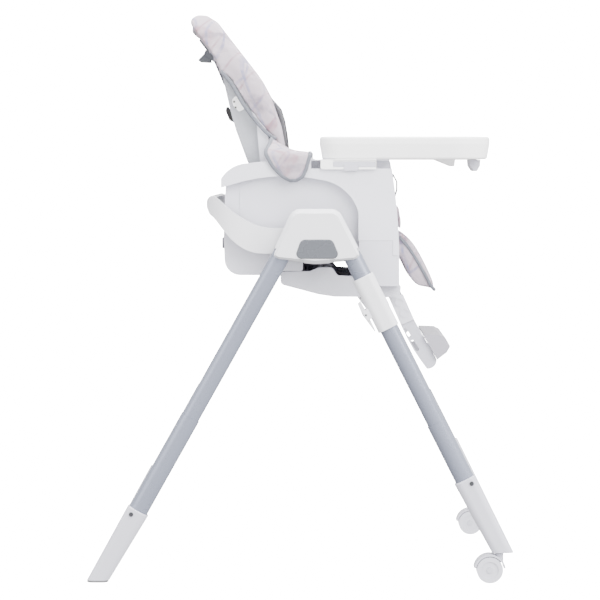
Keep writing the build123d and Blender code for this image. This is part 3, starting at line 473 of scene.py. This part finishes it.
for side, which in ((-1, "right"), (1, "left")):
    grid = flap_grid(side)
    normals = grid_normals(grid, side)
    pad = padded_sheet(f"arm_flap_{which}", grid, normals, FLAP_THICK, fabric)
    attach(pad, "seat")
    last = len(grid) - 1
    edge = ([(i, 0) for i in range(BOUND_FROM, last)] + [(last, j) for j in range(ACROSS)]
            + [(i, ACROSS - 1) for i in range(last - 1, BOUND_FROM, -1)])
    tape(f"flap_binding_{which}", [grid[k] for k in edge],
         [Vector(normals[k]) for k in edge], 0.0075, 0.0055, "seat")
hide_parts("arm_flaps")

# ---------------------------------------------------------------- bindings and piping
# X, Z of the edges that the bindings follow (mm)
WING = [(-152, 957), (-134, 936), (-121, 914), (-110, 895), (-96, 876), (-81, 857), (-68, 843),
        (-56, 833), (-47, 828)]
CALF = [(189, 641), (206, 622), (225, 592), (241, 564), (250, 547), (256, 540)]
WING_Y, CALF_Y = 0.1675, 0.1285   # how far out they lie (m)
for side, which in ((-1, "right"), (1, "left")):
    line = smooth_path([(x * MM, side * WING_Y, z * MM) for x, z in WING])
    tape(f"wing_binding_{which}", line, (0, side, 0), 0.007, 0.006, "backrest")
    line = smooth_path([(x * MM, side * CALF_Y, z * MM) for x, z in CALF])
    tape(f"calf_piping_{which}", line, (0, side, 0), 0.006, 0.005, "seat")
tape("calf_piping_end", [(0.2565, y * MM, 0.5395) for y in range(-128, 129, 16)], (0, 0, 1),
     0.006, 0.006, "seat")

# ---------------------------------------------------------------- harness pads and clip dots
PAD_AXIS = [(-60, 905), (-48, 890), (-39.5, 868), (-34.5, 838), (-32, 808)]  # X, Z (mm)
PAD_Y = 58                       # how far out each shoulder strap lies
PAD_HALF_WIDTH, PAD_HALF_THICK = 24, 5.2


def harness_pad(name, y):
    """Rounded sleeve round a shoulder strap, narrower towards its two ends."""
    verts = []
    line = smooth_path([(x, 0, z) for x, z in PAD_AXIS], 7)
    ring = 24
    for i, p in enumerate(line):
        t = i / (len(line) - 1)
        round_off = min(1, 4 * min(t, 1 - t) + 0.35) ** 0.5
        ahead = (line[min(i + 1, len(line) - 1)] - line[max(i - 1, 0)]).normalized()
        out = ahead.cross(Vector((0, 1, 0))).normalized()
        if out.x < 0:
            out = -out
        for k in range(ring):
            a = 2 * math.pi * k / ring
            wide = bulge(math.cos(a), PAD_HALF_WIDTH * round_off, 0.5)
            thick = bulge(math.sin(a), PAD_HALF_THICK * round_off, 0.7)
            verts.append((Vector((0, y + wide, 0)) + p + out * thick) * MM)
    return new_object(name, verts, strip_faces(len(line), ring), harness_cloth)


for side, which in ((-1, "right"), (1, "left")):
    pad = harness_pad(f"harness_pad_{which}", side * PAD_Y)
    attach(pad, "backrest")


CLIP_DOTS = ((-127, 899), (-124, 888))   # X, Z of the dots on each pad clip (mm)
CLIP_Y = 154.2
DOT_RADIUS, DOT_DEPTH = 2.0, 0.6


def clip_dot(name, x, y, z):
    """Small dark disc facing sideways."""
    bpy.ops.mesh.primitive_cylinder_add(radius=DOT_RADIUS * MM, depth=DOT_DEPTH * MM, vertices=32,
                                        location=(x * MM, y * MM, z * MM),
                                        rotation=(math.pi / 2, 0, 0))
    obj = bpy.context.object
    obj.name = name
    obj.data.materials.append(black)
    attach(obj, "backrest")


for side, which in ((-1, "right"), (1, "left")):
    for n, (x, z) in enumerate(CLIP_DOTS):
        clip_dot(f"clip_dot_{which}_{n}", x, side * CLIP_Y, z)

# ---------------------------------------------------------------- floor, light and camera
FLOOR_GLOW, BACKDROP_GLOW = 20.0, 24.0   # both show as plain white
DOME_DIM, DOME_BRIGHT = 0.75, 4.3
DOME_TOP = (0.45, -0.35, 0.82)           # where the dome is brightest

floor_mat = Shader("floor")
floor_mat.set(Base_Color=floor_mat.mix(floor_mat.span(floor_mat.noise(2, 2), 0, 1),
                                       (0.86, 0.86, 0.86), (0.9, 0.9, 0.9)),
              Roughness=0.9, Emission_Color=(1, 1, 1), Emission_Strength=FLOOR_GLOW)
bpy.ops.mesh.primitive_plane_add(size=30, location=(0, 0, -0.0005))
floor = bpy.context.object
floor.name = "floor"
floor.data.materials.append(floor_mat.mat)
# it shows as a backdrop but lights nothing
floor.visible_diffuse = floor.visible_glossy = False

world = bpy.data.worlds.new("studio")
bpy.context.scene.world = world
world.use_nodes = True
sky = world.node_tree
backdrop = sky.nodes["Background"]
backdrop.inputs["Color"].default_value = (1, 1, 1, 1)
# light falls mostly from above, from the chair's right and from its front
aim = sky.nodes.new("ShaderNodeVectorMath")
aim.operation = "DOT_PRODUCT"
aim.inputs[1].default_value = DOME_TOP
sky.links.new(sky.nodes.new("ShaderNodeTexCoord").outputs["Generated"], aim.inputs[0])
dome = sky.nodes.new("ShaderNodeMapRange")
for key, value in (("From Min", -1.0), ("From Max", 1.0), ("To Min", DOME_DIM),
                   ("To Max", DOME_BRIGHT)):
    dome.inputs[key].default_value = value
sky.links.new(aim.outputs["Value"], dome.inputs["Value"])
path = sky.nodes.new("ShaderNodeLightPath")
glow = sky.nodes.new("ShaderNodeMapRange")
glow.inputs["To Max"].default_value = BACKDROP_GLOW
sky.links.new(dome.outputs["Result"], glow.inputs["To Min"])
sky.links.new(path.outputs["Is Camera Ray"], glow.inputs["Value"])
sky.links.new(glow.outputs["Result"], backdrop.inputs["Strength"])


def lamp(name, place, target, size, power):
    """Square area lamp at place, aimed at target."""
    data = bpy.data.lights.new(name, "AREA")
    data.size = size
    data.energy = power
    obj = bpy.data.objects.new(name, data)
    bpy.context.collection.objects.link(obj)
    obj.location = place
    obj.rotation_euler = (Vector(target) - Vector(place)).to_track_quat("-Z", "Y").to_euler()
    return obj


lamps = [lamp("key", (1.9, -2.4, 2.5), (0, 0, 0.65), 2.4, 230),
         lamp("top", (-0.3, 0.0, 3.2), (0, 0, 0.5), 2.0, 200),
         lamp("fill", (-2.6, -2.4, 1.5), (0, 0, 0.5), 2.0, 40)]

CAMERA_PLACE = (0.0427, -4.446, 0.775)
CAMERA_PITCH, CAMERA_YAW = 86.61, 0.59   # degrees
LENS, SENSOR = 134.8, 36                 # mm

camera = bpy.data.cameras.new("camera")
camera.lens = LENS
camera.sensor_width = SENSOR
camera.clip_end = 60
view = bpy.data.objects.new("camera", camera)
bpy.context.collection.objects.link(view)
view.location = CAMERA_PLACE
view.rotation_euler = (math.radians(CAMERA_PITCH), 0, math.radians(CAMERA_YAW))
bpy.context.scene.camera = view
